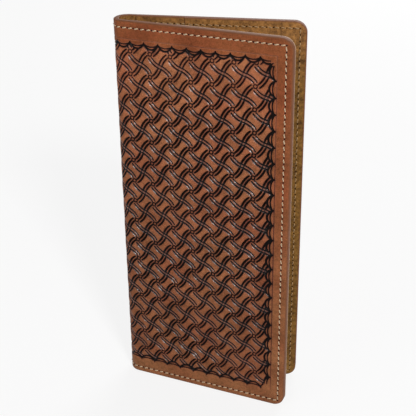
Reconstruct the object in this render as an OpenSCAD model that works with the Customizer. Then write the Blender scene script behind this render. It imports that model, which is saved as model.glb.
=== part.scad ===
// Tall checkbook cover in tooled leather, standing on its short edges and part open.
// The covers lie either side of the X axis, with the fold at -X and the free edges at +X.
// The front cover is on the -Y side, and +Z runs up the height of the cover.

/* [Cover] */
// Height of the cover, along the fold
cover_h = 184; // [150:1:220]
// Width of each cover, from the back of the fold to the free edge
cover_w = 84.5; // [76:0.5:110]
// Radius of the rounded free corners
corner_r = 5.5; // [4:0.5:10]
// Outside radius of the fold
fold_r = 6; // [5.75:0.25:8]
// Angle between the two covers at rest
rest_angle = 13.5; // [8:0.5:30]

/* [Leather] */
// Thickness of the tooled outer leather
shell_t = 1.6; // [1.2:0.1:2]
// Thickness of the lining
lining_t = 0.8; // [0.5:0.1:1]
// Thickness of the long pockets and the card panels
pocket_t = 0.6; // [0.4:0.05:0.7]
// Thickness of the card strips
strip_t = 0.5; // [0.3:0.05:0.6]

/* [Pockets] */
// Back of the fold to the mouth of each long pocket
long_mouth = 9; // [8.5:0.5:12]
// Back of the fold to the mouth of each card panel
card_mouth = 31; // [28:0.5:40]
// Back of the fold to the mouth of the first card strip
strip_mouth = 13; // [12.5:0.5:14]
// Step from one card strip's mouth to the next
strip_step = 9; // [6:0.5:10]
// Width of each card strip
strip_w = 28; // [20:1:34]
// Glued margin round each long pocket
margin_w = 6; // [5.75:0.25:8]
// Slack between one pocket layer and the next
slack = 0.3; // [0.15:0.05:0.35]

/* [Stitching] */
// Edge of the cover to the line of stitches
stitch_inset = 2.9; // [2.4:0.1:4]
// Distance from one needle hole to the next
stitch_pitch = 2.9; // [2.5:0.1:3.6]
// Length of one stitch on the surface
stitch_l = 2.1; // [1.4:0.1:2.3]
// Width of the thread
thread_w = 0.7; // [0.4:0.05:0.9]

/* [Fold] */
// Gap at the fold lines where the covers meet the spine
fold_gap = 0.3; // [0.2:0.05:0.4]

/* [Hidden] */
$fn = 96;

shell_col = "#7c4a2f";
lining_col = "#c08a4f";
pocket_col = "#c89a60";
strip_col = "#b98450";
thread_col = "#e8dcc4";

// Each half of the fold turns this far when the cover is laid open flat
half_rest = rest_angle / 2;
half_fold = 90 - half_rest;
leather_t = shell_t + lining_t;
lining_r = fold_r - shell_t;
inner_r = fold_r - leather_t;

// Free edge, counted from the fold's centre along the cover
free_x = cover_w - fold_r;

// A hinge here straightens the middle of the leather at its true length
mid_r = fold_r - leather_t / 2;
hinge_turn = half_fold / 2;
hinge_r = mid_r * (hinge_turn * PI / 180) / sin(hinge_turn);

// Pocket mouths, counted as free_x is
long_x = long_mouth - fold_r;
card_x = card_mouth - fold_r;
strip_low_x = strip_mouth - fold_r;
strip_high_x = strip_low_x + strip_step;

// Heights of the pocket layers above the lining
wall_gap = 0.4;
card_margin_w = margin_w - pocket_t - wall_gap;
long_top = slack + pocket_t;
strips_top = long_top + 2 * strip_t;
back_card_top = long_top + slack + pocket_t;
front_card_top = strips_top + slack + pocket_t;

thread_h = thread_w / 2;
stitch_turn = stitch_pitch / fold_r * 180 / PI;
stitch_span = stitch_l / fold_r * 180 / PI;
// Turn taken up by the notch at a fold line, with the thread that stands over it
notch_half = fold_gap / 2 + (fold_r + thread_h - hinge_r) * tan(hinge_turn);
notch_turn = atan(notch_half / fold_r);
side_stitches = max(1, floor((hinge_turn - notch_turn) / stitch_turn + 0.1));
spine_stitches = max(1, floor(2 * (hinge_turn - notch_turn) / stitch_turn + 0.1));

// The origin lies under the middle of the resting cover
spine_stitch_turn = spine_stitches % 2 == 1 ? 0 : (stitch_turn - stitch_span) / 2;
low_x = -max(fold_r, (fold_r + thread_h) * cos(spine_stitch_turn));
edge_in = inner_r - 2 * pocket_t;
high_x = free_x * cos(half_rest) - edge_in * sin(half_rest);
centre_x = (low_x + high_x) / 2;
hinge_x = -hinge_r * cos(hinge_turn) - centre_x;
hinge_y = hinge_r * sin(hinge_turn);
echo(hinge_x = hinge_x, hinge_y = hinge_y, turn_min = -half_rest, turn_max = half_fold);
echo(centre_x = centre_x, low_x = low_x - centre_x, high_x = high_x - centre_x);
eps = 0.01;

// Places what is drawn for a closed cover, along +X on the +Y side, as the back cover
module back_side() {
    translate([-centre_x, 0, 0]) rotate([0, 0, half_rest]) children();
}

// The same for the front cover, as its mirror image
module front_side() {
    mirror([0, 1, 0]) back_side() children();
}

module at_spine() {
    translate([-centre_x, 0, 0]) children();
}

// Outline of a cover layer from x0 to the free edge, with its two rounded corners
module cover_outline(x0) {
    translate([x0, 0]) square([free_x - corner_r - x0, cover_h]);
    translate([x0, corner_r]) square([free_x - x0, cover_h - 2 * corner_r]);
    for (z = [corner_r, cover_h - corner_r])
        translate([free_x - corner_r, z]) circle(corner_r);
}

// Raises a 2D outline to a layer between y and y - t
module layer(y, t) {
    translate([0, y, 0]) rotate([90, 0, 0]) linear_extrude(t) children();
}

// Part of the fold between radii r - t and r, from angle a0 over a turn
module fold_sector(r, t, a0, turn) {
    rotate([0, 0, a0]) rotate_extrude(angle = turn) translate([r - t, 0]) square([t, cover_h]);
}

// Room at a fold line: wide outside for laying open, narrow inside for closing
module fold_notch(angle) {
    out_d = fold_r + 1 - hinge_r;
    in_d = hinge_r - inner_r + 1;
    out_s = fold_gap / 2 + out_d * tan(hinge_turn);
    in_s = fold_gap / 2 + in_d * tan(half_rest / 2);
    rotate([0, 0, angle]) translate([0, 0, -1]) linear_extrude(cover_h + 2)
        polygon([
            [hinge_r, fold_gap / 2], [hinge_r + out_d, out_s], [hinge_r + out_d, -out_s],
            [hinge_r, -fold_gap / 2], [hinge_r - in_d, -in_s], [hinge_r - in_d, in_s],
        ]);
}

// Flat cover and its share of the fold, for a layer of outer radius r
module side_layer(r, t) {
    difference() {
        union() {
            layer(r, t) cover_outline(0);
            fold_sector(r, t, 90, hinge_turn);
        }
        fold_notch(90 + hinge_turn);
    }
}

module spine_layer(r, t) {
    difference() {
        fold_sector(r, t, 180 - hinge_turn, 2 * hinge_turn);
        for (side = [-1, 1]) fold_notch(180 + side * hinge_turn);
    }
}

// Pocket panel with a glued margin on three sides and a raised middle, open at x0
module pocket_panel(x0, base, top, margin) {
    face = inner_r - base;
    rise = top - base - pocket_t;
    end_x = free_x - margin;
    difference() {
        union() {
            layer(face, pocket_t) cover_outline(x0);
            translate([x0, face - rise - pocket_t, margin - pocket_t])
                cube([end_x + pocket_t - x0, rise + pocket_t, cover_h - 2 * margin + 2 * pocket_t]);
        }
        translate([x0 - 1, face - rise, margin])
            cube([end_x - x0 + 1, rise + 1, cover_h - 2 * margin]);
    }
}

module card_strip(x0, base) {
    translate([x0, inner_r - base - strip_t, margin_w])
        cube([strip_w, strip_t, cover_h - 2 * margin_w]);
}

// Half-round stitch along +X, centred at the origin and standing on the XZ plane towards +Y
module stitch() {
    translate([-stitch_l / 2, 0, 0]) rotate([90, 0, 90]) linear_extrude(stitch_l)
        intersection() {
            circle(thread_h, $fn = 24);
            translate([0, -thread_w]) square([thread_w, 2 * thread_w]);
        }
}

// Stitch that lies on the fold at radius r, outside it (out = 1) or inside it (out = -1)
module fold_stitch(r, out, angle, z) {
    rotate([0, 0, angle - stitch_span / 2]) translate([0, 0, z])
        rotate_extrude(angle = stitch_span)
            intersection() {
                translate([r, 0]) circle(thread_h, $fn = 24);
                translate([out > 0 ? r : r - thread_w, -thread_w]) square([thread_w, 2 * thread_w]);
            }
}

// Height of the leather above the lining under a stitch that reaches to x
function margin_height(x) = (x > long_x - eps ? pocket_t : 0) + (x > card_x - eps ? pocket_t : 0);

// The perimeter stitches of one cover, on its outer face or on its inner face
module side_stitching(outer) {
    run_x = free_x - stitch_inset;
    count_x = round(run_x / stitch_pitch);
    step_x = run_x / count_x;
    run_z = cover_h - 2 * stitch_inset;
    count_z = round(run_z / stitch_pitch);
    step_z = run_z / count_z;
    face_way = outer ? 0 : 180;
    for (z = [stitch_inset, cover_h - stitch_inset]) {
        for (i = [0:count_x - 1]) {
            x = (i + 0.5) * step_x;
            y = outer ? fold_r : inner_r - margin_height(x + stitch_l / 2);
            translate([x, y, z]) rotate([face_way, 0, 0]) stitch();
        }
        for (i = [0:side_stitches - 1])
            fold_stitch(outer ? fold_r : inner_r, outer ? 1 : -1, 90 + (i + 0.5) * stitch_turn, z);
    }
    for (i = [0:count_z - 1]) {
        y = outer ? fold_r : edge_in;
        translate([run_x, y, stitch_inset + (i + 0.5) * step_z])
            rotate([face_way, 0, 0]) rotate([0, 90, 0]) stitch();
    }
}

module spine_stitching(outer) {
    for (z = [stitch_inset, cover_h - stitch_inset])
        for (i = [0:spine_stitches - 1]) {
            angle = 180 + (i - (spine_stitches - 1) / 2) * stitch_turn;
            fold_stitch(outer ? fold_r : inner_r, outer ? 1 : -1, angle, z);
        }
}

// Stitches across the card panel that make two card pockets of it
module divider_stitching(top) {
    run = free_x - card_margin_w - card_x;
    count = round(run / stitch_pitch);
    step = run / count;
    for (i = [0:count - 1])
        translate([card_x + (i + 0.5) * step, inner_r - top, cover_h / 2])
            rotate([180, 0, 0]) stitch();
}

module back_shell() {
    color(shell_col) back_side() side_layer(fold_r, shell_t);
}

module back_lining() {
    color(lining_col) back_side() side_layer(lining_r, lining_t);
}

module back_long_pocket() {
    color(pocket_col) back_side() pocket_panel(long_x, 0, long_top, margin_w);
}

module back_card_panel() {
    color(pocket_col) back_side() pocket_panel(card_x, pocket_t, back_card_top, card_margin_w);
}

module back_outer_thread() {
    color(thread_col) back_side() side_stitching(true);
}

module back_inner_thread() {
    color(thread_col) back_side() side_stitching(false);
}

module back_divider_thread() {
    color(thread_col) back_side() divider_stitching(back_card_top);
}

module spine_shell() {
    color(shell_col) at_spine() spine_layer(fold_r, shell_t);
}

module spine_lining() {
    color(lining_col) at_spine() spine_layer(lining_r, lining_t);
}

module spine_outer_thread() {
    color(thread_col) at_spine() spine_stitching(true);
}

module spine_inner_thread() {
    color(thread_col) at_spine() spine_stitching(false);
}

module front_shell() {
    color(shell_col) front_side() side_layer(fold_r, shell_t);
}

module front_lining() {
    color(lining_col) front_side() side_layer(lining_r, lining_t);
}

module front_long_pocket() {
    color(pocket_col) front_side() pocket_panel(long_x, 0, long_top, margin_w);
}

module front_card_strip_low() {
    color(strip_col) front_side() card_strip(strip_low_x, long_top);
}

module front_card_strip_high() {
    color(strip_col) front_side() card_strip(strip_high_x, long_top + strip_t);
}

module front_card_panel() {
    color(pocket_col) front_side() pocket_panel(card_x, pocket_t, front_card_top, card_margin_w);
}

module front_outer_thread() {
    color(thread_col) front_side() side_stitching(true);
}

module front_inner_thread() {
    color(thread_col) front_side() side_stitching(false);
}

module front_divider_thread() {
    color(thread_col) front_side() divider_stitching(front_card_top);
}

back_shell();
back_lining();
back_long_pocket();
back_card_panel();
back_outer_thread();
back_inner_thread();
back_divider_thread();
spine_shell();
spine_lining();
spine_outer_thread();
spine_inner_thread();
front_shell();
front_lining();
front_long_pocket();
front_card_strip_low();
front_card_strip_high();
front_card_panel();
front_outer_thread();
front_inner_thread();
front_divider_thread();
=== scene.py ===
"""Tall checkbook cover in basket-stamped leather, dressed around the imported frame.

Each operator below makes one piece, or one group of like pieces, of the cover.
Lengths inside the functions are in millimetres, and a vertex is placed in metres.
"""

import math
from collections import namedtuple

import bmesh
import bpy
import numpy as np
from bpy.props import FloatProperty, FloatVectorProperty, IntProperty, PointerProperty
from mathutils import Matrix, Vector


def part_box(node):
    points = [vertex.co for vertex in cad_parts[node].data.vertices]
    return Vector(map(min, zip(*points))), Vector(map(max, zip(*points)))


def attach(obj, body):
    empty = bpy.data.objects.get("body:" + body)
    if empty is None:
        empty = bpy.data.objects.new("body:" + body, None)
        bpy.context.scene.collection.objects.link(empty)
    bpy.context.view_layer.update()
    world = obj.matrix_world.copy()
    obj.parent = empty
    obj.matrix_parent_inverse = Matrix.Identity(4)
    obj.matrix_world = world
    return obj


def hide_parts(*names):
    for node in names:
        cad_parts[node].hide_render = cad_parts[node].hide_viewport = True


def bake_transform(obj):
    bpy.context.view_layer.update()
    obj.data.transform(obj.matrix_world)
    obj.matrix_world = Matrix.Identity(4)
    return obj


bl_info = {
    "name": "Tooled Checkbook Cover",
    "version": (1, 0, 0),
    "blender": (4, 5, 0),
    "location": "View3D > Sidebar > Cover",
    "description": "Makes a tall tooled leather cover with its lining, pockets and stitching",
    "category": "Object",
}

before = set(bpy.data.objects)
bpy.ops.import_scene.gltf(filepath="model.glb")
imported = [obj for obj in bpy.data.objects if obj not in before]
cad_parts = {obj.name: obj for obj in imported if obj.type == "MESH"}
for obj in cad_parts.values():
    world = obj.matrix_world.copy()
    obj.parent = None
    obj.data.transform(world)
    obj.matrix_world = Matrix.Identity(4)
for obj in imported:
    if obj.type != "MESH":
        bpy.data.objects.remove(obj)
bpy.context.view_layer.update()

MM = 0.001
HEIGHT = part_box("back_shell")[1].z

# Position and axes of the camera, fitted to the outline of both covers
CAMERA_PLACE = (0.116049, -0.387636, 0.296771)
CAMERA_RIGHT = (0.95958535, 0.28120947, -0.01082512)
CAMERA_UP = (-0.11591743, 0.43001721, 0.89534817)
CAMERA_BACK = (0.25643538, -0.85790817, 0.4452353)
CAMERA_LENS = 83.57
LAMP_DISTANCE = 1.4
WORLD_LEVEL = 0.25

# Pattern raster of the tooled face, and the finest grid of its mesh
RASTER_STEP = 0.15
TOOLED_STEP = 0.25
TOOLED_TRIANGLES = 190000
# Widest step of the meshes of the other leathers, and a distance that is beyond every edge
LAYER_STEP = 1.5
FAR = 200.0

# Lay of the basket in millimetres, by column i from the fold and row j from the top
BASKET_LEFT, BASKET_TOP = -1.15, 165.7
COLUMN_DROP = 0.3
ROW_GROWTH, ROW_SETTLE = 0.12, 0.002
ROW_SLIP, ROW_BOW = -0.29, 0.026
COLUMN_SLIP, COLUMN_BOW = -0.3, 0.05
# Rise of the columns near the free edge, and of the rows near the top
EDGE_COLUMN, EDGE_LIFT = 3, 0.21
TOP_ROW, TOP_LIFT = 6, 0.13
TOP_LIFT_FROM, TOP_LIFT_OVER = 2.5, 1.5

# How evenly the stamp is struck, and how much of an under rope's grooves is lost beneath the upper rope
FORCE_SPREAD, FORCE_LOW, FORCE_HIGH = 0.12, 0.75, 1.2
HIDDEN_SHARE = 0.65
# Soft edge of a rope, then the scribed lines: half width, depth as a share of a groove's, and dye
ROPE_EDGE = 0.3
SCRIBED_HALF, SCRIBED_DEPTH, SCRIBED_INK = 0.32, 0.5, 0.4

# Depths, radii and half width of the other relief of the tooled face, in millimetres
SHOULDER_D, ROPE_D, WAVE_D, HOLE_D, CHANNEL_D = 0.2, 0.07, 0.03, 0.45, 0.1
HOLE_R, CHANNEL_HALF = 0.6, 0.75
RIM_R = 0.7

# Depth of the outer thread in its channel, and a distance into a cover from the fold, which follow reads for
# a point that it does not use
THREAD_SINK = 0.1
BEND_REACH = 2.0


def length_prop(name, description, mm):
    """A length of the cover, given in millimetres."""
    return FloatProperty(name=name, description=description, default=mm * MM, unit="LENGTH", precision=5)


def colour_prop(name, description, red, green, blue):
    """A colour given in display values from 0 to 255."""
    return FloatVectorProperty(name=name, description=description, subtype="COLOR",
                               default=[linear(red), linear(green), linear(blue)], min=0, max=1)


def linear(value):
    """Display value from 0 to 255 to scene-linear."""
    c = value / 255
    return c / 12.92 if c <= 0.04045 else ((c + 0.055) / 1.055) ** 2.4


class CoverSizes(bpy.types.PropertyGroup):
    """Measures of the leather, its pockets and the seam."""

    height: FloatProperty(name="Height", description="Height of the cover along the fold",
                          default=HEIGHT, unit="LENGTH", precision=5)
    width: length_prop("Width", "Back of the fold to the free edge", 84.5)
    corner_r: length_prop("Corner radius", "Radius of the rounded free corners", 5.5)
    fold_r: length_prop("Fold radius", "Outside radius of the fold", 6)
    rest_angle: FloatProperty(name="Rest angle", description="Angle between the two covers at rest",
                              default=math.radians(13.5), subtype="ANGLE")
    shell_t: length_prop("Outer leather", "Thickness of the tooled outer leather", 1.6)
    lining_t: length_prop("Lining", "Thickness of the lining", 0.8)
    pocket_t: length_prop("Pocket leather", "Thickness of the long pockets and card panels", 0.6)
    strip_t: length_prop("Strip leather", "Thickness of the card strips", 0.5)
    long_mouth: length_prop("Long pocket mouth", "Back of the fold to the long pocket's mouth", 9)
    card_mouth: length_prop("Card panel mouth", "Back of the fold to the card panel's mouth", 31)
    strip_mouth: length_prop("Strip mouth", "Back of the fold to the first card strip's mouth", 13)
    strip_step: length_prop("Strip step", "Step from one card strip's mouth to the next", 9)
    strip_w: length_prop("Strip width", "Width of each card strip", 28)
    margin_w: length_prop("Margin", "Glued margin round the pockets", 6)
    slack: length_prop("Slack", "Slack between one pocket layer and the next", 0.3)
    seam_inset: length_prop("Seam inset", "Edge of the cover to the line of stitches", 2.9)
    seam_pitch: length_prop("Seam pitch", "Distance from one needle hole to the next", 2.91)
    stitch_l: length_prop("Stitch length", "Length of one stitch that shows", 2.05)
    thread_w: length_prop("Thread", "Width of the thread", 0.6)
    stitch_slant: FloatProperty(name="Stitch slant", description="Turn of each stitch from the seam",
                                default=math.radians(11), subtype="ANGLE")


class ToolingSizes(bpy.types.PropertyGroup):
    """Measures of the stamped pattern and its border."""

    cell_w: length_prop("Cell width", "Step of the basket stamp across the cover", 9.75)
    cell_h: length_prop("Cell height", "Step of the basket stamp up the cover", 10.25)
    jitter: length_prop("Hand jitter", "How far one impression strays from its place", 0.3)
    rope_half: length_prop("Rope half width", "Middle of a rope to each of its grooves", 0.74)
    groove_half: length_prop("Groove half width", "Half the width of a groove", 0.6)
    groove_d: length_prop("Groove depth", "Depth of the grooves beside each rope", 0.62)
    knot_r: length_prop("Knot radius", "Radius of the ring where four ropes meet", 0.86)
    top_line: length_prop("Top line", "Top edge to the scribed line", 7.8)
    side_line: length_prop("Side line", "Free edge to the scribed line", 6.8)
    bottom_line: length_prop("Bottom line", "Bottom edge to the scribed line", 8.0)
    top_pitch: length_prop("Top scallop", "Pitch of the scallops along the top", 6.72)
    side_pitch: length_prop("Side scallop", "Pitch of the scallops down the free edge", 7.5)
    bottom_pitch: length_prop("Bottom scallop", "Pitch of the scallops along the bottom", 7.2)
    seed: IntProperty(name="Seed", description="Seed of the hand jitter and the uneven dye", default=7)


class LeatherColours(bpy.types.PropertyGroup):
    """Colours of the leathers, the dye and the thread."""

    pillow: colour_prop("Pillow", "Raised parts of the basket, rubbed light", 156, 98, 65)
    border: colour_prop("Border", "Plain leather over the tooling", 129, 73, 43)
    border_low: colour_prop("Low border", "Plain leather under the tooling", 134, 87, 56)
    rope: colour_prop("Rope", "Ropes between the grooves, where some dye stays", 104, 60, 48)
    dye: colour_prop("Dye", "Antique dye at the bottom of the grooves", 14, 9, 7)
    burnish: colour_prop("Burnished edge", "Cut edge rubbed smooth", 116, 73, 48)
    lining: colour_prop("Lining", "Golden tan of the lining", 144, 104, 50)
    lining_dark: colour_prop("Lining shade", "Worn dark patches of the lining", 74, 50, 24)
    # Pale cut edge of the front card panel, made lighter still as a painted highlight along that edge.
    pale_and_highlit_edge: colour_prop("Lining edge", "Pale cut edge of the pocket leather", 190, 164, 142)
    thread: colour_prop("Thread", "Waxed cream thread", 214, 190, 158)
    inner_thread: colour_prop("Inner thread", "Waxed thread inside, stained by the lining", 182, 147, 104)


def take_sizes(owner, sizes):
    """Gives an object the sizes of a property group: lengths in millimetres, and angles as they are."""
    for key, prop in sizes.bl_rna.properties.items():
        if prop.type == "FLOAT":
            value = getattr(sizes, key)
            setattr(owner, key, value if prop.subtype == "ANGLE" else value / MM)


class Layout:
    """The cover's measures in millimetres, and the way from the flat leather to its place."""

    def __init__(self):
        take_sizes(self, bpy.context.scene.cover_sizes)
        self.half_rest = self.rest_angle / 2
        self.fold_turn = math.pi / 2 - self.half_rest
        self.free = self.width - self.fold_r
        self.fold_l = self.fold_r * self.fold_turn
        self.roll_l = self.fold_l + self.free
        self.leather_t = self.shell_t + self.lining_t
        self.long_x = self.long_mouth - self.fold_r
        self.card_x = self.card_mouth - self.fold_r
        self.strip_x = self.strip_mouth - self.fold_r
        reach = self.free * math.cos(self.half_rest)
        inner = self.fold_r - self.leather_t - 2 * self.pocket_t
        self.shift_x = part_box("back_card_panel")[1].x / MM - reach + inner * math.sin(self.half_rest)
        self.run_u = self.free - self.seam_inset
        self.run_roll = self.fold_l + self.run_u
        self.count_u = round(self.run_roll / self.seam_pitch)
        self.count_z = round((self.height - 2 * self.seam_inset) / self.seam_pitch)
        self.step_u = self.run_roll / self.count_u
        self.step_z = (self.height - 2 * self.seam_inset) / self.count_z

    def place(self, side, along, up, depth):
        """Points of the flat leather in the row frame, in metres: side is 1 on the back cover."""
        radius = self.fold_r + depth
        turn = np.minimum(along, 0) / self.fold_r
        u = np.maximum(along, 0) + radius * np.sin(turn)
        n = radius * np.cos(turn)
        c, s = math.cos(self.half_rest), math.sin(self.half_rest)
        return np.stack([u * c - n * s + self.shift_x, side * (u * s + n * c), up], axis=-1) * MM

    def unroll(self, side, points):
        """The way back: along, up and depth of points in the row frame."""
        p = np.asarray(points, float) / MM
        x, y = p[:, 0] - self.shift_x, side * p[:, 1]
        c, s = math.cos(self.half_rest), math.sin(self.half_rest)
        u, n = x * c + y * s, y * c - x * s
        along = np.where(u > 0, u, np.arctan2(np.minimum(u, 0), n) * self.fold_r)
        depth = np.where(u > 0, n, np.hypot(u, n)) - self.fold_r
        return along, p[:, 2], depth

    def round_corners(self, along, up):
        """Draws the square corners of a flat grid in to the rounded free corners."""
        r = self.corner_r
        a = (along - (self.free - r)) / r
        for far, way in ((0, -1), (self.height, 1)):
            b = way * (up - (far - way * r)) / r
            inside = (a > 0) & (b > 0)
            scale = np.where(inside, np.maximum(a, b) / np.maximum(np.hypot(a, b), 1e-9), 1)
            along = np.where(inside, self.free - r + a * scale * r, along)
            up = np.where(inside, far - way * r + way * b * scale * r, up)
        return along, up

    def edge_distance(self, along, up):
        """Distance in from the sewn outline of the cover."""
        r = self.corner_r
        side, end = self.free - along, np.minimum(up, self.height - up)
        corner = r - np.hypot(r - side, r - end)
        return np.where((side < r) & (end < r), corner, np.minimum(side, end))


def smooth_step(low, high, x):
    t = np.clip((x - low) / (high - low), 0, 1)
    return t * t * (3 - 2 * t)


def round_over(radius, distance):
    """How far a rounded edge has dropped at a distance in from it."""
    inside = np.clip(radius - distance, 0, radius)
    return radius - np.sqrt(np.maximum(radius**2 - inside**2, 0))


def bump_of(distance, half):
    """Raised cosine, 1 at a distance of 0 and 0 from half on."""
    return 0.5 + 0.5 * np.cos(np.pi * np.clip(np.abs(distance) / half, 0, 1))


# The tooled pattern, rolled out flat

# A row of scallops: distance in from its edge and run along it on the raster, its scribed line, the
# depth of its cusps, the sags of its thin and its bold arc, its pitch, one cusp's place and both ends
Border = namedtuple("Border", "inset run line cusp thin bold pitch start low high")


def scallop(border):
    """Share of the way from cusp to cusp as -1 to 1, bow of the arc there, and distance in from the cusps."""
    share = 2 * np.mod((border.run - border.start) / border.pitch, 1) - 1
    return share, (1 - share**2) ** 0.8, border.inset - border.line - border.cusp


class Tooling:
    """Relief and dye of the tooled face on a raster: roll is 0 at the middle of the fold."""

    def __init__(self, lay):
        self.lay = lay
        sizes = bpy.context.scene.tooling_sizes
        take_sizes(self, sizes)
        self.rng = np.random.default_rng(sizes.seed)
        self.rolls = np.arange(-lay.roll_l, lay.roll_l + RASTER_STEP, RASTER_STEP)
        self.ups = np.arange(0, lay.height + RASTER_STEP, RASTER_STEP)
        self.roll, self.up = np.abs(self.rolls)[:, None], self.ups[None, :]
        shape = (len(self.rolls), len(self.ups))
        self.groove, self.rope, self.ink, self.shine = (np.zeros(shape) for _ in range(4))
        self.stamp_basket()
        field = self.field_mask()
        for raster in (self.groove, self.rope, self.ink, self.shine):
            raster *= field
        self.stamp_border()
        self.finish(field)

    def window(self, low, high):
        """Slices of the raster from low to high, with the points inside."""
        a = np.searchsorted(self.rolls, [low[0], high[0]])
        b = np.searchsorted(self.ups, [low[1], high[1]])
        cut = (slice(*a), slice(*b))
        return cut, self.rolls[cut[0]][:, None], self.ups[cut[1]][None, :]

    def crossing(self, i, j):
        """Where two ropes cross, for column i and row j counted from the front's top left."""
        across = BASKET_LEFT + self.cell_w * i + ROW_SLIP * j + ROW_BOW * j * j
        across += (COLUMN_SLIP + COLUMN_BOW * i) * i if i > 0 else 0
        up = BASKET_TOP - COLUMN_DROP * i - self.cell_h * j - (ROW_GROWTH - ROW_SETTLE * j) * j
        near_edge = min(max((i - TOP_LIFT_FROM) / TOP_LIFT_OVER, 0), 1)
        up += EDGE_LIFT * max(i - EDGE_COLUMN, 0) ** 2 + TOP_LIFT * max(TOP_ROW - j, 0) * near_edge
        return np.array([across + self.lay.fold_l, up]) + self.rng.normal(0, self.jitter / 2, 2)

    def stamp_basket(self):
        """Ropes in S curves that cross at each point and end at rings between the points."""
        columns, rows = range(-11, 10), range(-3, 18)
        cross = {(i, j): self.crossing(i, j) for i in columns for j in rows}
        knot = {(i, j): sum(cross[i + a, j + b] for a in (0, 1) for b in (0, 1)) / 4
                for i in columns[:-1] for j in rows[:-1]}
        for i in columns[1:-1]:
            for j in rows[1:-1]:
                corners = [knot[i, j], knot[i - 1, j], knot[i - 1, j - 1], knot[i, j - 1]]
                self.stamp_crossing(cross[i, j], corners)
        for centre in knot.values():
            self.stamp_knot(centre)

    def stamp_crossing(self, centre, corners):
        """Two crossing ropes, with the one that runs down to the right on top.

        The corners are the rings right-down, left-down, left-up and right-up.
        """
        arms = []
        for k in range(4):
            toward = (corners[k] + corners[k - 1]) / 2 - centre
            across = corners[k] - centre - toward
            bend = ARM_CURVE[:, :1] * toward - ARM_CURVE[:, 1:] * across
            arms.append(centre + bend)
        reach = np.array([self.cell_w, self.cell_h]) * 0.62 + 1.2
        cut, roll, up = self.window(centre - reach, centre + reach)
        if not (roll.size and up.size):
            return
        over = 0
        for first, last in ((0, 2), (1, 3)):
            falling = first == 0
            strength = np.clip(self.rng.normal(1, FORCE_SPREAD), FORCE_LOW, FORCE_HIGH)
            line = np.concatenate([arms[first][::-1], arms[last][1:]])
            aside, share = line_distance(line, roll, up)
            arm = np.abs(2 * share - 1)
            inner = aside * np.sign(share - 0.5) < 0
            width = self.groove_half * (0.8 + 0.3 * np.sin(np.pi * np.clip(arm, 0, 1)))
            end = np.where(inner, 0.95, 0.99)
            fade = 1 - smooth_step(end - 0.1, end + 0.02, arm)
            groove = bump_of(np.abs(aside) - self.rope_half, width) * fade * (1 - HIDDEN_SHARE * over)
            body = 1 - smooth_step(self.rope_half, self.rope_half + ROPE_EDGE, np.abs(aside))
            self.groove[cut] = np.maximum(self.groove[cut], groove * (0.6 + 0.4 * strength))
            self.ink[cut] = np.maximum(self.ink[cut], groove ** (1.6 if falling else 1.0) * strength)
            self.rope[cut] = np.maximum(self.rope[cut], body * fade)
            if falling:
                wide = 1 - smooth_step(self.rope_half + 0.4, self.rope_half + 1.0, np.abs(aside))
                dry = 1 - smooth_step(0.08, 0.5, groove)
                self.shine[cut] = np.maximum(self.shine[cut], wide * dry * fade)
            over = body * (arm < 0.9)

    def stamp_knot(self, centre):
        """Ring where four ropes meet."""
        cut, roll, up = self.window(centre - 2, centre + 2)
        if not (roll.size and up.size):
            return
        r = np.hypot(roll - centre[0], up - centre[1])
        ring = bump_of(r - self.knot_r, 0.38) * 0.85
        for raster in (self.groove, self.ink):
            raster[cut] = np.where(r < self.knot_r, ring, np.maximum(raster[cut], ring))
        self.rope[cut] = np.maximum(self.rope[cut], 1 - smooth_step(self.knot_r, self.knot_r + ROPE_EDGE, r))

    def borders(self):
        """The rows of scallops along the top, down the free edge and along the bottom."""
        lay = self.lay
        roll, up = self.roll, self.up
        fold = lay.fold_l
        return (
            Border(inset=lay.height - up, run=roll, line=self.top_line, cusp=1.4, thin=1.1, bold=2.4,
                   pitch=self.top_pitch, start=fold + 64.3, low=-1, high=fold + 69),
            Border(inset=lay.roll_l - roll, run=up, line=self.side_line, cusp=0.55, thin=1.3, bold=2.8,
                   pitch=self.side_pitch, start=15.4, low=11.0, high=171.8),
            Border(inset=up, run=roll, line=self.bottom_line, cusp=0.3, thin=1.0, bold=2.4,
                   pitch=self.bottom_pitch, start=fold + 66.8, low=-1, high=fold + 67.2),
        )

    def field_mask(self):
        """1 where the basket is stamped, 0 outside the scallops."""
        mask = np.ones(self.groove.shape)
        for border in self.borders():
            _, bow, into = scallop(border)
            mask = mask * smooth_step(0, 0.35, into - border.bold * bow)
        return mask

    def stamp_border(self):
        """Scribed lines, two arcs for each scallop, and a wedge at each cusp."""
        lay = self.lay
        corner = {"top": lay.height - self.top_line, "side": lay.roll_l - self.side_line}
        roll, up = self.roll, self.up
        across = bump_of(up - corner["top"], SCRIBED_HALF) * (roll < corner["side"] + 0.2)
        down = bump_of(roll - corner["side"], SCRIBED_HALF)
        down = down * (up < corner["top"] + 0.2) * (up > self.bottom_line)
        scribed = np.maximum(across, down) * SCRIBED_DEPTH
        self.groove = np.maximum(self.groove, scribed)
        self.ink = np.maximum(self.ink, scribed * SCRIBED_INK)
        for border in self.borders():
            share, bow, into = scallop(border)
            ends = (border.run > border.low) & (border.run < border.high)
            slope = 1 + 0.45 * np.abs(share)
            arcs = np.maximum(bump_of((into - border.thin * bow) / slope, 0.4) * 0.9,
                              bump_of((into - border.bold * bow) / slope, 0.62))
            near = (1 - np.abs(share)) * border.pitch / 2
            wedge = smooth_step(-0.1, 0.25, 0.5 * (1 + into / 0.9) - near) * (into < 1.0) * (into > -0.9)
            mark = np.maximum(arcs, wedge) * ends
            self.groove, self.ink = np.maximum(self.groove, mark), np.maximum(self.ink, mark)

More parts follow.
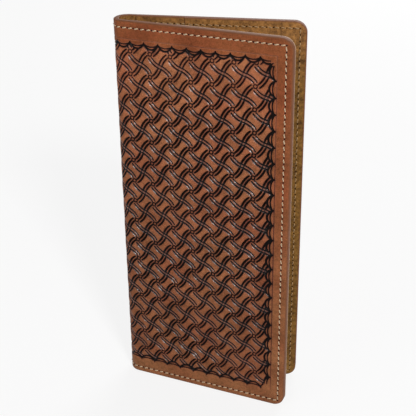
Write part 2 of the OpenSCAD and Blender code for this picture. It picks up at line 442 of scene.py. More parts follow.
    def seam_holes(self):
        """Needle holes and the slight channel that the thread pulls in."""
        lay = self.lay
        roll, up = self.roll, self.up
        end = np.minimum(up, lay.height - up) - lay.seam_inset
        side = roll - lay.run_roll
        along_u = (np.mod(roll / lay.step_u + 0.5, 1) - 0.5) * lay.step_u
        along_z = (np.mod((up - lay.seam_inset) / lay.step_z + 0.5, 1) - 0.5) * lay.step_z
        r = np.minimum(np.where(roll < lay.run_roll + 1, np.hypot(end, along_u), FAR),
                       np.where(end > -1, np.hypot(side, along_z), FAR))
        line = np.minimum(np.where(roll < lay.run_roll, np.abs(end), FAR),
                          np.where(end > 0, np.abs(side), FAR))
        return bump_of(r, HOLE_R), bump_of(line, CHANNEL_HALF)

    def finish(self, field):
        """Adds the shoulders, the crown of each pillow, the seam and the uneven dye."""
        soft = blurred(self.groove, 0.75)
        halo = blurred(self.groove, 0.3)
        holes, channel = self.seam_holes()
        patch = unit(blurred(self.rng.standard_normal(self.groove.shape), 9))
        fleck = unit(blurred(self.rng.standard_normal(self.groove.shape), 1.1))
        wave = unit(blurred(self.rng.standard_normal(self.groove.shape), 5))
        self.height = (-self.groove_d * self.groove * (1 + 0.12 * patch) - SHOULDER_D * soft
                       - ROPE_D * blurred(self.rope, 0.2) + WAVE_D * wave
                       - HOLE_D * holes - CHANNEL_D * channel)
        level = smooth_step(-45, 70, self.up) * (1 - 0.5 * smooth_step(115, 172, self.up)) + 0.1 * patch
        level = np.clip(level, 0.4, 1)
        stain = np.clip(1.9 * self.ink, 0, 1) ** 0.75 * (0.45 + 0.55 * level)
        stain = np.maximum(stain, self.rope * (0.17 + 0.05 * fleck) * (0.6 + 0.4 * level))
        spread = (0.18 * halo + 0.3 * soft) * level * (1 - 0.75 * self.rope)
        self.dye = np.clip(stain + spread, 0, 1)
        self.dye = np.maximum(self.dye, np.clip(1.25 * holes, 0, 1))
        self.field = blurred(field, 0.6)
        self.gloss = np.clip(self.shine, 0, 1)

    def read(self, name, roll, up):
        """Bilinear value of a raster at any points."""
        field = getattr(self, name)
        a = np.clip((roll - self.rolls[0]) / RASTER_STEP, 0, len(self.rolls) - 1.001)
        b = np.clip(up / RASTER_STEP, 0, len(self.ups) - 1.001)
        i, j = a.astype(int), b.astype(int)
        a, b = a - i, b - j
        low = field[i, j] * (1 - b) + field[i, j + 1] * b
        high = field[i + 1, j] * (1 - b) + field[i + 1, j + 1] * b
        return low * (1 - a) + high * a


def arm_curve():
    """Arm of a rope from its crossing to a ring, as a cubic curve in half steps of the pattern."""
    controls = np.array([(0, 0), (0.34, -0.08), (0.86, -0.40), (1.06, -0.80)])
    t = np.linspace(0, 1, 9)[:, None]
    weights = ((1 - t) ** 3, 3 * t * (1 - t) ** 2, 3 * t * t * (1 - t), t**3)
    return sum(w * p for w, p in zip(weights, controls))


ARM_CURVE = arm_curve()


def line_distance(line, roll, up):
    """Signed distance to a line of points, and the share of the way along it."""
    best = np.full(np.broadcast(roll, up).shape, 1e9)
    aside, share = best.copy(), np.zeros(best.shape)
    count = len(line) - 1
    for k, (p, q) in enumerate(zip(line[:-1], line[1:])):
        d = q - p
        t = ((roll - p[0]) * d[0] + (up - p[1]) * d[1]) / (d @ d)
        t = np.clip(t, 0, 1)
        x, y = roll - p[0] - t * d[0], up - p[1] - t * d[1]
        distance = np.hypot(x, y)
        nearer = distance < best
        best = np.where(nearer, distance, best)
        sign = np.sign(d[0] * (up - p[1]) - d[1] * (roll - p[0]))
        aside = np.where(nearer, sign * distance, aside)
        share = np.where(nearer, (k + t) / count, share)
    return aside, share


def blurred(field, sigma):
    """Gaussian blur of a raster, sigma in millimetres."""
    fa = np.fft.fftfreq(field.shape[0], RASTER_STEP)[:, None]
    fb = np.fft.rfftfreq(field.shape[1], RASTER_STEP)[None, :]
    gauss = np.exp(-2 * (np.pi * sigma) ** 2 * (fa**2 + fb**2))
    return np.fft.irfft2(np.fft.rfft2(field) * gauss, field.shape)


def unit(field):
    return field / field.std()


# Leather layers


def deselect_all():
    if bpy.context.object and bpy.context.object.mode != "OBJECT":
        bpy.ops.object.mode_set(mode="OBJECT")
    bpy.ops.object.select_all(action="DESELECT")


def coordinates(mesh):
    points = np.empty(len(mesh.vertices) * 3, np.float32)
    mesh.vertices.foreach_get("co", points)
    return points.reshape(-1, 3).astype(float)


def set_coordinates(mesh, points):
    mesh.vertices.foreach_set("co", np.asarray(points, np.float32).ravel())
    mesh.update()


def stations(*stretches):
    """Grid positions over stretches of (from, to, step), shared ends counted once."""
    parts = [np.linspace(a, b, max(1, round((b - a) / step)) + 1)[1:] for a, b, step in stretches]
    return np.concatenate([[stretches[0][0]], *parts])


def layer(name, side, alongs, ups, outer, inner, rounded=True):
    """Closed sheet of leather between two faces, each a depth over the flat leather."""
    deselect_all()
    bpy.ops.mesh.primitive_grid_add(x_subdivisions=len(alongs) - 1, y_subdivisions=len(ups) - 1, size=1)
    piece = bpy.context.object
    piece.name = piece.data.name = name
    thick = piece.modifiers.new("Thickness", "SOLIDIFY")
    thick.thickness, thick.offset, thick.use_even_offset = 1, -1, False
    bpy.ops.object.modifier_apply(modifier=thick.name)
    flat = coordinates(piece.data)
    along = np.asarray(alongs)[np.rint((flat[:, 0] + 0.5) * (len(alongs) - 1)).astype(int)]
    up = np.asarray(ups)[np.rint((flat[:, 1] + 0.5) * (len(ups) - 1)).astype(int)]
    if rounded:
        along, up = LAY.round_corners(along, up)
    depth = np.where(flat[:, 2] > -0.5, outer(along, up), inner(along, up))
    set_coordinates(piece.data, LAY.place(side, along, up, depth))
    if side > 0:
        piece.data.flip_normals()
    return piece


def thin_out(piece, triangles):
    """Collapses a dense mesh to a number of triangles."""
    have = sum(len(p.vertices) - 2 for p in piece.data.polygons)
    if have > triangles:
        fewer = piece.modifiers.new("Fewer", "DECIMATE")
        fewer.ratio = triangles / have
        bpy.ops.object.modifier_apply(modifier=fewer.name)


def finish_layer(piece, side, material, start, values=None):
    """Flat coordinates as the UV map, edge wear and other values as attributes, and shading."""
    mesh = piece.data
    along, up, depth = LAY.unroll(side, coordinates(mesh))
    while mesh.uv_layers:
        mesh.uv_layers.remove(mesh.uv_layers[0])
    uv = mesh.uv_layers.new(name="flat")
    corners = np.empty(len(mesh.loops), np.int32)
    mesh.loops.foreach_get("vertex_index", corners)
    roll = -side * (along + LAY.fold_l)
    uv.data.foreach_set("uv", (np.stack([roll, up], -1)[corners] * MM).astype(np.float32).ravel())
    edge = LAY.edge_distance(along, up)
    mouth = np.zeros_like(along)
    if start > -LAY.fold_l:
        mouth = 1 - smooth_step(0.25, 0.6, along - start)
    facts = {"burnish": 1 - smooth_step(0.15, 0.55, edge), "mouth": mouth}
    facts.update(values(along, up, depth, roll) if values else {})
    for key, numbers in facts.items():
        store = mesh.attributes.new(key, "FLOAT", "POINT")
        store.data.foreach_set("value", np.asarray(numbers, np.float32))
    mesh.shade_smooth()
    on_rim = (edge < 0.02) | (along < start + 0.02)
    mark_sharp(mesh, on_rim)
    mesh.materials.clear()
    mesh.materials.append(material)


def mark_sharp(mesh, on_rim, limit=math.radians(50)):
    """Keeps the corners between a face and its cut edge crisp, and the relief smooth."""
    work = bmesh.new()
    work.from_mesh(mesh)
    for edge in work.edges:
        a, b = edge.verts
        if on_rim[a.index] and on_rim[b.index] and edge.calc_face_angle(0) > limit:
            edge.smooth = False
    work.to_mesh(mesh)
    work.free()


def follow(piece, side, slot, *nodes):
    """Bakes the placement of a piece that crosses the fold between its cover and the spine into its mesh, and
    hides the frame parts that it stands for.
    """
    start, end = (LAY.place(side, along, LAY.height / 2, -LAY.leather_t / 2)
                  for along in (BEND_REACH, -LAY.fold_l))
    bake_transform(piece)
    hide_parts(*nodes)


def ride(piece, side, slot, *nodes):
    """Fixes a piece to its cover."""
    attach(piece, "back_cover" if side > 0 else "front_cover")
    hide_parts(*nodes)


def side_name(side):
    return "back" if side > 0 else "front"


# Shader helpers


class Value:
    """A socket that adds, subtracts, multiplies, divides and compares as Math nodes."""

    def __init__(self, shader, socket):
        self.shader, self.socket = shader, socket

    def math(self, operation, *others):
        return self.shader.node("ShaderNodeMath", {"operation": operation},
                                dict(enumerate((self, *others))))

    def __add__(self, other):
        return self.math("ADD", other)

    def __sub__(self, other):
        return self.math("SUBTRACT", other)

    def __rsub__(self, other):
        return (self * -1).math("ADD", other)

    def __mul__(self, other):
        return self.math("MULTIPLY", other)

    def __truediv__(self, other):
        return self.math("DIVIDE", other)

    __radd__, __rmul__ = __add__, __mul__

    def clamp(self):
        return self.math("MAXIMUM", 0.0).math("MINIMUM", 1.0)

    def step(self, low, high):
        """Smooth step of this value from low to high."""
        return self.shader.node("ShaderNodeMapRange", {"interpolation_type": "SMOOTHSTEP"},
                                {0: self, 1: low, 2: high})


class Shader:
    """The nodes of a material or a world, and the one method that adds to them."""

    def __init__(self, owner, surface="Principled BSDF"):
        owner.use_nodes = True
        self.owner, self.tree = owner, owner.node_tree
        self.surface = self.tree.nodes[surface]

    def node(self, kind, settings=None, inputs=None, output=0):
        """Adds a node: its settings first, a ramp's stops among them, then its sockets."""
        made = self.tree.nodes.new(kind)
        for key, value in (settings or {}).items():
            if key == "stops":
                ramp = made.color_ramp.elements
                while len(ramp) < len(value):
                    ramp.new(0.5)
                for stop, (position, colour) in zip(ramp, value):
                    stop.position, stop.color = position, (*colour, 1)
            else:
                setattr(made, key, value)
        for key, value in (inputs or {}).items():
            self.feed(made.inputs[key], value)
        return Value(self, made.outputs[output])

    def feed(self, socket, value):
        if isinstance(value, Value):
            self.tree.links.new(value.socket, socket)
        elif hasattr(value, "__len__") and socket.type == "RGBA":
            socket.default_value = (*value, 1)
        else:
            socket.default_value = value

    def attribute(self, name):
        return self.node("ShaderNodeAttribute", {"attribute_name": name}, output=2)

    def noise(self, vector, size_mm, detail):
        """Noise with patches of a size in millimetres, from 0 to 1."""
        return self.node("ShaderNodeTexNoise", {"noise_dimensions": "3D"},
                         {"Vector": vector, "Scale": 1 / (size_mm * MM), "Detail": detail})

    def mix(self, share, first, second, blend="MIX"):
        """Mixes two colours, each a colour or a link."""
        return self.node("ShaderNodeMix", {"data_type": "RGBA", "blend_type": blend},
                         {0: share, 6: first, 7: second}, output=2)

    def multiply(self, first, second):
        return self.mix(1.0, first, second, "MULTIPLY")

    def bump(self, height, strength, distance_mm):
        return self.node("ShaderNodeBump", {}, {"Height": height, "Strength": strength,
                                                "Distance": distance_mm * MM})

    def set(self, **sockets):
        """Feeds the surface's sockets, written with _ for a space."""
        for key, value in sockets.items():
            self.feed(self.surface.inputs[key.replace("_", " ")], value)
        return self.owner


def new_shader(name):
    return Shader(bpy.data.materials.new(name))


def colour(name, factor=1.0):
    """A colour of the cover, made darker or lighter by a factor."""
    return tuple(min(1, c * factor) for c in getattr(bpy.context.scene.leather_colours, name))


def tooled_material():
    """Veg-tanned leather with antique dye in its grooves and a burnished edge."""
    s = new_shader("tooled leather")
    flat = s.node("ShaderNodeUVMap", {"uv_map": "flat"})
    dye, burnish, field, gloss = (s.attribute(key) for key in ("dye", "burnish", "field", "gloss"))
    patch, fleck, grain = s.noise(flat, 12, 3), s.noise(flat, 1.6, 4), s.noise(flat, 0.5, 2)
    high = roll_and_up(s, flat)[1].step(10, LAY.height - 10)
    stain = (dye + (fleck - 0.5) * 0.3 * dye.step(0.02, 0.4)).clamp()
    tone = s.node("ShaderNodeValToRGB", {"stops": [
        (0.0, colour("pillow")),
        (0.15, colour("pillow", 0.78)),
        (0.36, colour("rope")),
        (0.54, colour("rope", 0.25)),
        (0.7, colour("dye")),
    ]}, {0: stain})
    tone = s.multiply(tone, s.mix(high, (0.72, 0.72, 0.72), (1, 1, 1)))
    plain = s.mix(high, colour("border_low"), colour("border"))
    base = s.mix(dye.step(0.0, 0.16), s.mix(field, plain, tone), tone)
    wear = (patch - 0.5) * 1.2 + (fleck - 0.5) * 1.3 + (grain - 0.5) * 1.3 + 0.5
    base = s.multiply(base, s.mix(wear.clamp(), (0.52, 0.5, 0.48), (1.38, 1.4, 1.42)))
    red = ((s.noise(flat, 21, 2) - 0.5) * 2.4 + (fleck - 0.5) * 1.5 + 0.25).clamp()
    base = s.mix(red, base, s.multiply(base, (0.9, 0.72, 0.76)))
    edge = s.mix(s.noise(flat, 2.2, 3), colour("burnish", 0.7), colour("burnish", 1.2))
    base = s.mix(burnish, base, edge)
    rough = (fleck - 0.5) * 0.16 + 0.45 - gloss * 0.1
    return s.set(Base_Color=base, Roughness=rough.clamp(), Specular_IOR_Level=0.06,
                 Coat_Weight=(gloss * (patch * 0.9 + 0.1)).clamp(), Coat_Roughness=0.25,
                 Normal=s.bump(grain, 0.3, 0.12))


def roll_and_up(s, flat):
    """Flat coordinates of the leather in millimetres: distance from the fold, and height."""
    split = s.node("ShaderNodeSeparateXYZ", {}, {0: flat})
    return split.math("ABSOLUTE") / MM, Value(s, split.socket.node.outputs[1]) / MM


def needle_hole_shade(s, flat):
    """1 in each needle hole, where the lining gets painted shade."""
    roll, up = roll_and_up(s, flat)
    end = up.math("MINIMUM", LAY.height - up) - LAY.seam_inset
    side = roll - LAY.run_roll
    along_u = ((roll / LAY.step_u + 0.5).math("FRACT") - 0.5) * LAY.step_u
    along_z = (((up - LAY.seam_inset) / LAY.step_z + 0.5).math("FRACT") - 0.5) * LAY.step_z
    first = (end * end + along_u * along_u + (side - 0.5).step(0, 0.2) * 9).math("SQRT")
    other = (side * side + along_z * along_z + (end * -1 - 0.5).step(0, 0.2) * 9).math("SQRT")
    return 1 - first.math("MINIMUM", other).step(0.22, 0.42)


def lining_material(name, painted_layer_light, pale_highlit_edge):
    """Waxed pull-up leather, golden tan and scuffed, with a burnished cut edge or a pale one that also
    carries a painted highlight, and made lighter or darker per layer as painted light and shade.
    """
    s = new_shader(name)
    flat = s.node("ShaderNodeUVMap", {"uv_map": "flat"})
    burnish = s.attribute("burnish")
    large, small, fine = s.noise(flat, 9, 4), s.noise(flat, 1.8, 5), s.noise(flat, 0.55, 3)
    scuff = ((large - 0.5) * 1.3 + (small - 0.5) * 1.9 + (fine - 0.5) * 0.9 + 0.5).clamp()
    # The factor given for each layer scales all of its colours: painted light on the upper pocket layers,
    # painted shade on the lining beneath them.
    base = s.mix(scuff, colour("lining_dark", painted_layer_light), colour("lining", painted_layer_light))
    base = s.mix(fine.step(0.6, 0.75) * 0.35, base, colour("lining", 1.35 * painted_layer_light))
    base = s.mix((1 - fine).step(0.62, 0.78) * 0.35, base, colour("lining_dark", 0.6))
    # Painted light: every inner leather is made lighter towards the top of the opening and a little darker
    # below it.
    high = roll_and_up(s, flat)[1].step(LAY.height - 32, LAY.height - 4)
    base = s.multiply(base, s.mix(high, (0.96, 0.96, 0.96), (1.34, 1.28, 1.6)))
    # Pocket mouths get the darker burnish colour: partly their real burnished cut edge, partly painted shade
    # along the slot.
    base = s.mix(s.attribute("mouth") * 0.85, base, colour("burnish", 0.8))
    # The pale edge colour is partly the leather's raw edge and partly a painted highlight.
    edge = "pale_and_highlit_edge" if pale_highlit_edge else "burnish"
    base = s.mix(burnish, base, s.mix(small, colour(edge, 0.85), colour(edge, 1.1)))
    # Painted shade: each needle hole is painted in the dye colour, as the lining's mesh has no holes.
    base = s.mix(needle_hole_shade(s, flat), base, colour("dye"))
    rough = (small - 0.5) * 0.2 + 0.55
    return s.set(Base_Color=base, Roughness=rough.clamp(), Specular_IOR_Level=0.1,
                 Normal=s.bump(fine + small * 0.5, 0.4, 0.15))


def thread_material(name, light):
    """Twisted waxed thread, with painted shade between its plies."""
    s = new_shader(name)
    ply = s.attribute("ply")
    wear = s.noise(s.node("ShaderNodeTexCoord", output=3), 4, 2)
    # Painted shade: the thread is darker where the ply value is low, between the plies.
    base = s.mix(ply.step(0.1, 0.9), colour(light, 0.45), colour(light))
    base = s.mix((wear - 0.4) * 0.5, base, colour(light, 0.72))
    return s.set(Base_Color=base, Roughness=0.6, Specular_IOR_Level=0.2)


# Heights of the pocket layers over the lining


def ramp(along, up):
    """0 in the sewn margin of a pocket and 1 in its raised middle."""
    return smooth_step(LAY.margin_w - 2, LAY.margin_w + 2.5, LAY.edge_distance(along, up))


def long_low(along, up):
    return LAY.slack * ramp(along, up)


def card_low(side, along, up):
    layers = 2 * LAY.strip_t if side < 0 else 0
    rise = 2 * LAY.slack + layers
    seam = 0.16 * bump_of(up - LAY.height / 2, 2.2)
    return LAY.pocket_t + (rise - seam) * ramp(along, up)


def pocket_face(along, low, mouth_x, rim):
    """Depth of a pocket's inner face: its rolled mouth, the crease behind it and its rounded rim."""
    mouth = round_over(0.35, along - mouth_x)
    crease = 0.1 * bump_of(along - mouth_x - 1.6, 0.5)
    return -LAY.leather_t - (low + LAY.pocket_t) + mouth + rim + crease


def inner_face(side, along, up):
    """Depth of the innermost surface at the perimeter seam and the divider seam."""
    top = np.where(along > LAY.long_x, long_low(along, up) + LAY.pocket_t, 0)
    top = np.where(along > LAY.card_x, card_low(side, along, up) + LAY.pocket_t, top)
    return -LAY.leather_t - top


# Operators


class COVER_OT_tooled_leather(bpy.types.Operator):
    """Tooled outer leather, in two halves that meet at the middle of the fold"""

    bl_idname = "cover.tooled_leather"
    bl_label = "Tooled leather"

    def execute(self, context):
        material = tooled_material()
        tooling = Tooling(LAY)
        step = TOOLED_STEP * 1
        for side in (-1, 1):
            alongs = stations((-LAY.fold_l, LAY.free, step))
            ups = stations((0, LAY.height, step))

            def outer(along, up):
                roll = -side * (along + LAY.fold_l)
                edge = LAY.edge_distance(along, up)
                cover = smooth_step(0, 0.8, edge)
                return tooling.read("height", roll, up) * cover - round_over(RIM_R, edge) * 0.8

            piece = layer(side_name(side) + "_tooled_leather", side, alongs, ups, outer,
                          lambda along, up: -LAY.shell_t)
            thin_out(piece, TOOLED_TRIANGLES)
            finish_layer(piece, side, material, -LAY.fold_l,
                         lambda along, up, depth, roll: {
                             key: tooling.read(key, roll, up) * smooth_step(-1.2, -0.9, depth)
                             for key in ("dye", "field", "gloss")})
            follow(piece, side, "tooled_leather", side_name(side) + "_shell", "spine_shell")
        return {"FINISHED"}


class COVER_OT_lining(bpy.types.Operator):
    """Lining, in two halves that meet at the middle of the fold"""

    bl_idname = "cover.lining"
    bl_label = "Lining"

    def execute(self, context):
        material = lining_material("lining leather", 0.9, False)
        for side in (-1, 1):
            alongs = stations((-LAY.fold_l, 0, 0.5), (0, LAY.free - 7, LAYER_STEP),
                              (LAY.free - 7, LAY.free - 0.6, 0.6), (LAY.free - 0.6, LAY.free, 0.15))
            ups = edge_rows()
            piece = layer(side_name(side) + "_lining_leather", side, alongs, ups,
                          lambda along, up: -LAY.shell_t,
                          lambda along, up: -LAY.leather_t + 0.5 * round_over(
                              0.3, np.where(along < LAY.long_x, LAY.edge_distance(along, up), FAR)))
            finish_layer(piece, side, material, -LAY.fold_l)
            follow(piece, side, "lining_leather", side_name(side) + "_lining", "spine_lining")
        return {"FINISHED"}


def edge_rows():
    """Rows up the cover, close together near both ends."""
    top = LAY.height
    return stations((0, 0.6, 0.15), (0.6, 11, 0.7), (11, top - 11, LAYER_STEP), (top - 11, top - 0.6, 0.7),
                    (top - 0.6, top, 0.15))


def mouth_columns(mouth, end):
    """Columns across a pocket, close together at its rolled mouth and at the free edge."""
    return stations((mouth, mouth + 0.6, 0.1), (mouth + 0.6, mouth + 3, 0.4),
                    (mouth + 3, end - 11, LAYER_STEP), (end - 11, end - 0.6, 0.7), (end - 0.6, end, 0.15))


class COVER_OT_long_pockets(bpy.types.Operator):
    """Long pockets that take the card backing of a check pad"""

    bl_idname = "cover.long_pockets"
    bl_label = "Long pockets"

    def execute(self, context):
        material = lining_material("long pocket leather", 0.96, False)
        for side in (-1, 1):
            def inner(along, up):
                rim = np.where(along < LAY.card_x, round_over(0.3, LAY.edge_distance(along, up)), 0)
                return pocket_face(along, long_low(along, up), LAY.long_x, 0.6 * rim)

            piece = layer(side_name(side) + "_long_pocket_leather", side,
                          mouth_columns(LAY.long_x, LAY.free), edge_rows(),
                          lambda along, up: -LAY.leather_t - long_low(along, up), inner)
            finish_layer(piece, side, material, LAY.long_x)
            ride(piece, side, "pocket_leather", side_name(side) + "_long_pocket")
        return {"FINISHED"}


class COVER_OT_card_panels(bpy.types.Operator):
    """Card panels, each sewn across its middle into two card pockets"""

    bl_idname = "cover.card_panels"
    bl_label = "Card panels"

    def execute(self, context):
        materials = {side: lining_material(side_name(side) + " card panel leather", 1.12, side < 0)
                     for side in (-1, 1)}
        middle = LAY.height / 2
        rows = edge_rows()
        rows = np.concatenate([rows[rows < middle - 4], stations((middle - 4, middle + 4, 0.3)),
                               rows[rows > middle + 4]])
        for side in (-1, 1):
            def inner(along, up):
                rim = round_over(0.35, LAY.edge_distance(along, up))
                return pocket_face(along, card_low(side, along, up), LAY.card_x, 0.7 * rim)

            piece = layer(side_name(side) + "_card_panel_leather", side,
                          mouth_columns(LAY.card_x, LAY.free), rows,
                          lambda along, up: -LAY.leather_t - card_low(side, along, up), inner)
            finish_layer(piece, side, materials[side], LAY.card_x)
            ride(piece, side, "pocket_leather", side_name(side) + "_card_panel")
        return {"FINISHED"}


class COVER_OT_card_strips(bpy.types.Operator):
    """Card strips of the front cover, one above the other"""

    bl_idname = "cover.card_strips"
    bl_label = "Card strips"

    def execute(self, context):
        material = lining_material("card strip leather", 1.04, False)
        end_row = LAY.margin_w - 2
        for index, name in enumerate(("low", "high")):
            mouth = LAY.strip_x + index * LAY.strip_step

            def base(along, up):
                return LAY.pocket_t + (LAY.slack + index * LAY.strip_t) * ramp(along, up)

            def inner(along, up):
                thick = 0.06 + (LAY.strip_t - 0.06) * ramp(along, up)
                edge = round_over(0.3, along - mouth) + 0.08 * bump_of(along - mouth - 1.4, 0.45)
                return -LAY.leather_t - base(along, up) - thick + edge * ramp(along, up)

            columns = stations((mouth, mouth + 0.6, 0.1), (mouth + 0.6, mouth + 3, 0.4),
                               (mouth + 3, mouth + LAY.strip_w, LAYER_STEP))
            rows = edge_rows()
            between = (rows > end_row + 0.1) & (rows < LAY.height - end_row - 0.1)
            rows = np.concatenate([[end_row], rows[between], [LAY.height - end_row]])
            piece = layer("front_card_strip_" + name + "_leather", -1, columns, rows,
                          lambda along, up: -LAY.leather_t - base(along, up), inner, rounded=False)
            finish_layer(piece, -1, material, mouth)
            ride(piece, -1, "pocket_leather", "front_card_strip_" + name)
        return {"FINISHED"}


class COVER_OT_stitching(bpy.types.Operator):
    """Lockstitch seam round both covers, outside and inside, and the divider seams"""

    bl_idname = "cover.stitching"
    bl_label = "Stitching"

    def execute(self, context):
        cream = thread_material("waxed thread", "thread")
        stained = thread_material("inner waxed thread", "inner_thread")
        template = stitch_template()
        for side in (-1, 1):
            name = side_name(side)
            runs = seam_runs()
            outer = sew(name + "_outer_stitches", side, template, runs,
                        lambda along, up: np.full_like(along, -THREAD_SINK), 1)
            inner = sew(name + "_inner_stitches", side, template, runs,
                        lambda along, up: inner_face(side, along, up), -1)
            divider = sew(name + "_divider_stitches", side, template, divider_runs(),
                          lambda along, up: inner_face(side, along, up), -1)
            for piece, material in ((outer, cream), (inner, stained), (divider, stained)):
                piece.data.materials.append(material)
            follow(outer, side, "thread", name + "_outer_thread", "spine_outer_thread")
            follow(inner, side, "thread", name + "_inner_thread", "spine_inner_thread")
            ride(divider, side, "thread", name + "_divider_thread")
        bpy.data.objects.remove(template)
        return {"FINISHED"}


def seam_runs():
    """Middle and direction of each stitch of the perimeter seam: along, up, direction along and up."""
    rows = []
    for k in range(LAY.count_u):
        along = (k + 0.5) * LAY.step_u - LAY.fold_l
        rows.append((along, LAY.height - LAY.seam_inset, 1, 0))
        rows.append((along, LAY.seam_inset, 1, 0))
    for k in range(LAY.count_z):
        rows.append((LAY.run_u, LAY.seam_inset + (k + 0.5) * LAY.step_z, 0, -1))
    return np.array(rows, float)


def divider_runs():
    """The same for the seam across the middle of a card panel."""
    run = LAY.free - LAY.margin_w - LAY.card_x
    count = round(run / LAY.seam_pitch)
    middles = [LAY.card_x + (k + 0.5) * run / count for k in range(count)]
    return np.array([(along, LAY.height / 2, 1, 0) for along in middles], float)


def stitch_template():
    """One twisted stitch along X: a cylinder cut into rings, before its twist."""
    deselect_all()
    bpy.ops.mesh.primitive_cylinder_add(vertices=8, radius=1, depth=2, end_fill_type="NGON",
                                        rotation=(0, math.pi / 2, 0))
    bpy.ops.object.transform_apply(rotation=True)
    bpy.ops.object.mode_set(mode="EDIT")
    for cut in np.linspace(-1, 1, 8)[1:-1]:
        bpy.ops.mesh.select_all(action="SELECT")
        bpy.ops.mesh.bisect(plane_co=(cut, 0, 0), plane_no=(1, 0, 0))
    bpy.ops.object.mode_set(mode="OBJECT")
    return bpy.context.object


def sew(name, side, template, runs, face, way):
    """Copies the template stitch along a seam; way is 1 on the outer face and -1 on the inner."""
    shape = coordinates(template.data)
    t, around = shape[:, 0], np.arctan2(shape[:, 2], shape[:, 1])
    lobe = np.cos(2 * around - 2.6 * np.pi * t / 2)
    radius = LAY.thread_w / 2 * (0.92 + 0.13 * lobe) * (1 - 0.45 * np.abs(t) ** 4)
    run = t * LAY.stitch_l / 2
    aside = radius * np.cos(around) + run * math.tan(LAY.stitch_slant)
    rise = radius * np.sin(around) * 0.85 + 0.16 - 0.5 * np.abs(t) ** 3.5
    along = runs[:, :1] + runs[:, 2:3] * run - runs[:, 3:4] * aside * way
    up = runs[:, 1:2] + runs[:, 3:4] * run + runs[:, 2:3] * aside * way
    base = face(runs[:, 0], runs[:, 1])[:, None]
    points = LAY.place(side, along, up, base + way * rise).reshape(-1, 3)
    count = len(shape)
    faces = [[v + k * count for v in p.vertices] for k in range(len(runs)) for p in template.data.polygons]
    mesh = bpy.data.meshes.new(name)
    mesh.from_pydata(points, [], faces)
    # The ply value places the thread's painted shade between its plies.
    store = mesh.attributes.new("ply", "FLOAT", "POINT")
    store.data.foreach_set("value", np.tile(lobe * 0.5 + 0.5, len(runs)).astype(np.float32))
    mesh.shade_smooth()
    piece = bpy.data.objects.new(name, mesh)
    bpy.context.scene.collection.objects.link(piece)
    deselect_all()
    bpy.context.view_layer.objects.active = piece
    piece.select_set(True)
    bpy.ops.object.mode_set(mode="EDIT")
    bpy.ops.mesh.select_all(action="SELECT")
    bpy.ops.mesh.normals_make_consistent(inside=False)
    bpy.ops.object.mode_set(mode="OBJECT")
    return piece


class COVER_OT_stage(bpy.types.Operator):
    """Pale floor, soft studio light and the camera"""

    bl_idname = "cover.stage"
    bl_label = "Stage"

    def execute(self, context):
        scene = context.scene
        deselect_all()
        bpy.ops.mesh.primitive_plane_add(size=8, location=(0, 0, -0.05 * MM))
        floor = context.object
        floor.name = "floor"
        floor.data.materials.append(floor_material())
        light_world(scene)
        add_lamp("key", direction=(0.5, -0.68, 0.54), size=0.22, level=0.7)
        add_lamp("fill", direction=(-0.6, -0.75, 0.3), size=1.0, level=0.15)
        add_lamp("back", direction=(0.1, 0.85, 0.5), size=0.8, level=0.5)
        camera = bpy.data.objects.new("camera", bpy.data.cameras.new("camera"))
        scene.collection.objects.link(camera)
        columns = zip(CAMERA_RIGHT, CAMERA_UP, CAMERA_BACK, CAMERA_PLACE)
        camera.matrix_world = Matrix([*columns, (0, 0, 0, 1)])
        camera.data.sensor_width, camera.data.lens = 36, CAMERA_LENS
        camera.data.clip_start = 0.01
        scene.camera = camera
        scene.view_settings.view_transform = "Standard"
        return {"FINISHED"}


def backdrop_rays(s):
    """1 for rays that see the backdrop itself rather than take light from it."""
    path = s.node("ShaderNodeLightPath").socket.node.outputs
    seen = Value(s, path["Is Camera Ray"])
    for ray in ("Is Glossy Ray", "Is Transmission Ray"):
        seen = seen.math("MAXIMUM", Value(s, path[ray]))
    return seen


def floor_material():
    """Pale matt floor that looks white and keeps the cover's shadow."""
    s = new_shader("floor")
    s.set(Base_Color=(0.86, 0.86, 0.86), Roughness=0.9)
    glow = s.node("ShaderNodeEmission", {}, {"Color": (1, 1, 1), "Strength": 1.0})
    share = backdrop_rays(s) * 0.8
    lit = s.node("ShaderNodeMixShader", {}, {0: share, 1: Value(s, s.surface.outputs[0]), 2: glow})
    s.tree.links.new(lit.socket, s.tree.nodes["Material Output"].inputs[0])
    return s.owner


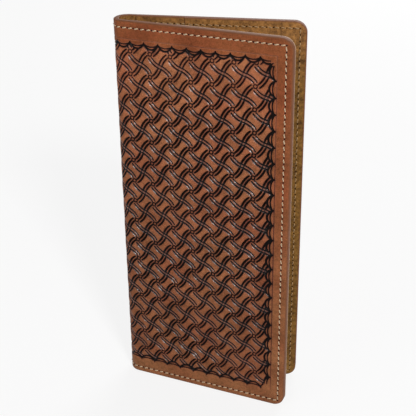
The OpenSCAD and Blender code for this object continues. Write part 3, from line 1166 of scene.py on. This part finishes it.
def light_world(scene):
    """Even light from all round, seen as white."""
    scene.world = bpy.data.worlds.new("studio")
    s = Shader(scene.world, "Background")
    s.set(Color=(1, 1, 1), Strength=backdrop_rays(s) * (1 - WORLD_LEVEL) + WORLD_LEVEL)


def add_lamp(name, direction, size, level):
    """Square soft light that faces the cover: at level 1 alone, a colour facing it renders as written."""
    lamp = bpy.data.objects.new(name, bpy.data.lights.new(name, "AREA"))
    bpy.context.scene.collection.objects.link(lamp)
    away = Vector(direction).normalized()
    lamp.data.size, lamp.data.energy = size, math.pi**2 * level * LAMP_DISTANCE**2
    lamp.location = Vector((0, 0, HEIGHT / 2)) + away * LAMP_DISTANCE
    lamp.rotation_euler = (-away).to_track_quat("-Z", "Y").to_euler()


class COVER_PT_panel(bpy.types.Panel):
    """Lists the operators and the sizes in the sidebar"""

    bl_label = "Tooled Cover"
    bl_idname = "COVER_PT_panel"
    bl_space_type = "VIEW_3D"
    bl_region_type = "UI"
    bl_category = "Cover"

    def draw(self, context):
        for operator in OPERATORS:
            self.layout.operator(operator.bl_idname)
        for name in GROUPS:
            group, box = getattr(context.scene, name), self.layout.box()
            for key in group.__annotations__:
                box.prop(group, key)


OPERATORS = (
    COVER_OT_stage,
    COVER_OT_tooled_leather,
    COVER_OT_lining,
    COVER_OT_long_pockets,
    COVER_OT_card_panels,
    COVER_OT_card_strips,
    COVER_OT_stitching,
)
GROUPS = {"cover_sizes": CoverSizes, "tooling_sizes": ToolingSizes, "leather_colours": LeatherColours}
CLASSES = (*GROUPS.values(), *OPERATORS, COVER_PT_panel)


def register():
    for each in CLASSES:
        bpy.utils.register_class(each)
    for name, group in GROUPS.items():
        setattr(bpy.types.Scene, name, PointerProperty(type=group))


def unregister():
    for name in GROUPS:
        delattr(bpy.types.Scene, name)
    for each in reversed(CLASSES):
        bpy.utils.unregister_class(each)


def main():
    """Registers the add-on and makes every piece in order."""
    global LAY
    register()
    LAY = Layout()
    bpy.ops.cover.stage()
    bpy.ops.cover.tooled_leather()
    bpy.ops.cover.lining()
    bpy.ops.cover.long_pockets()
    bpy.ops.cover.card_panels()
    bpy.ops.cover.card_strips()
    bpy.ops.cover.stitching()


if __name__ == "__main__":
    main()
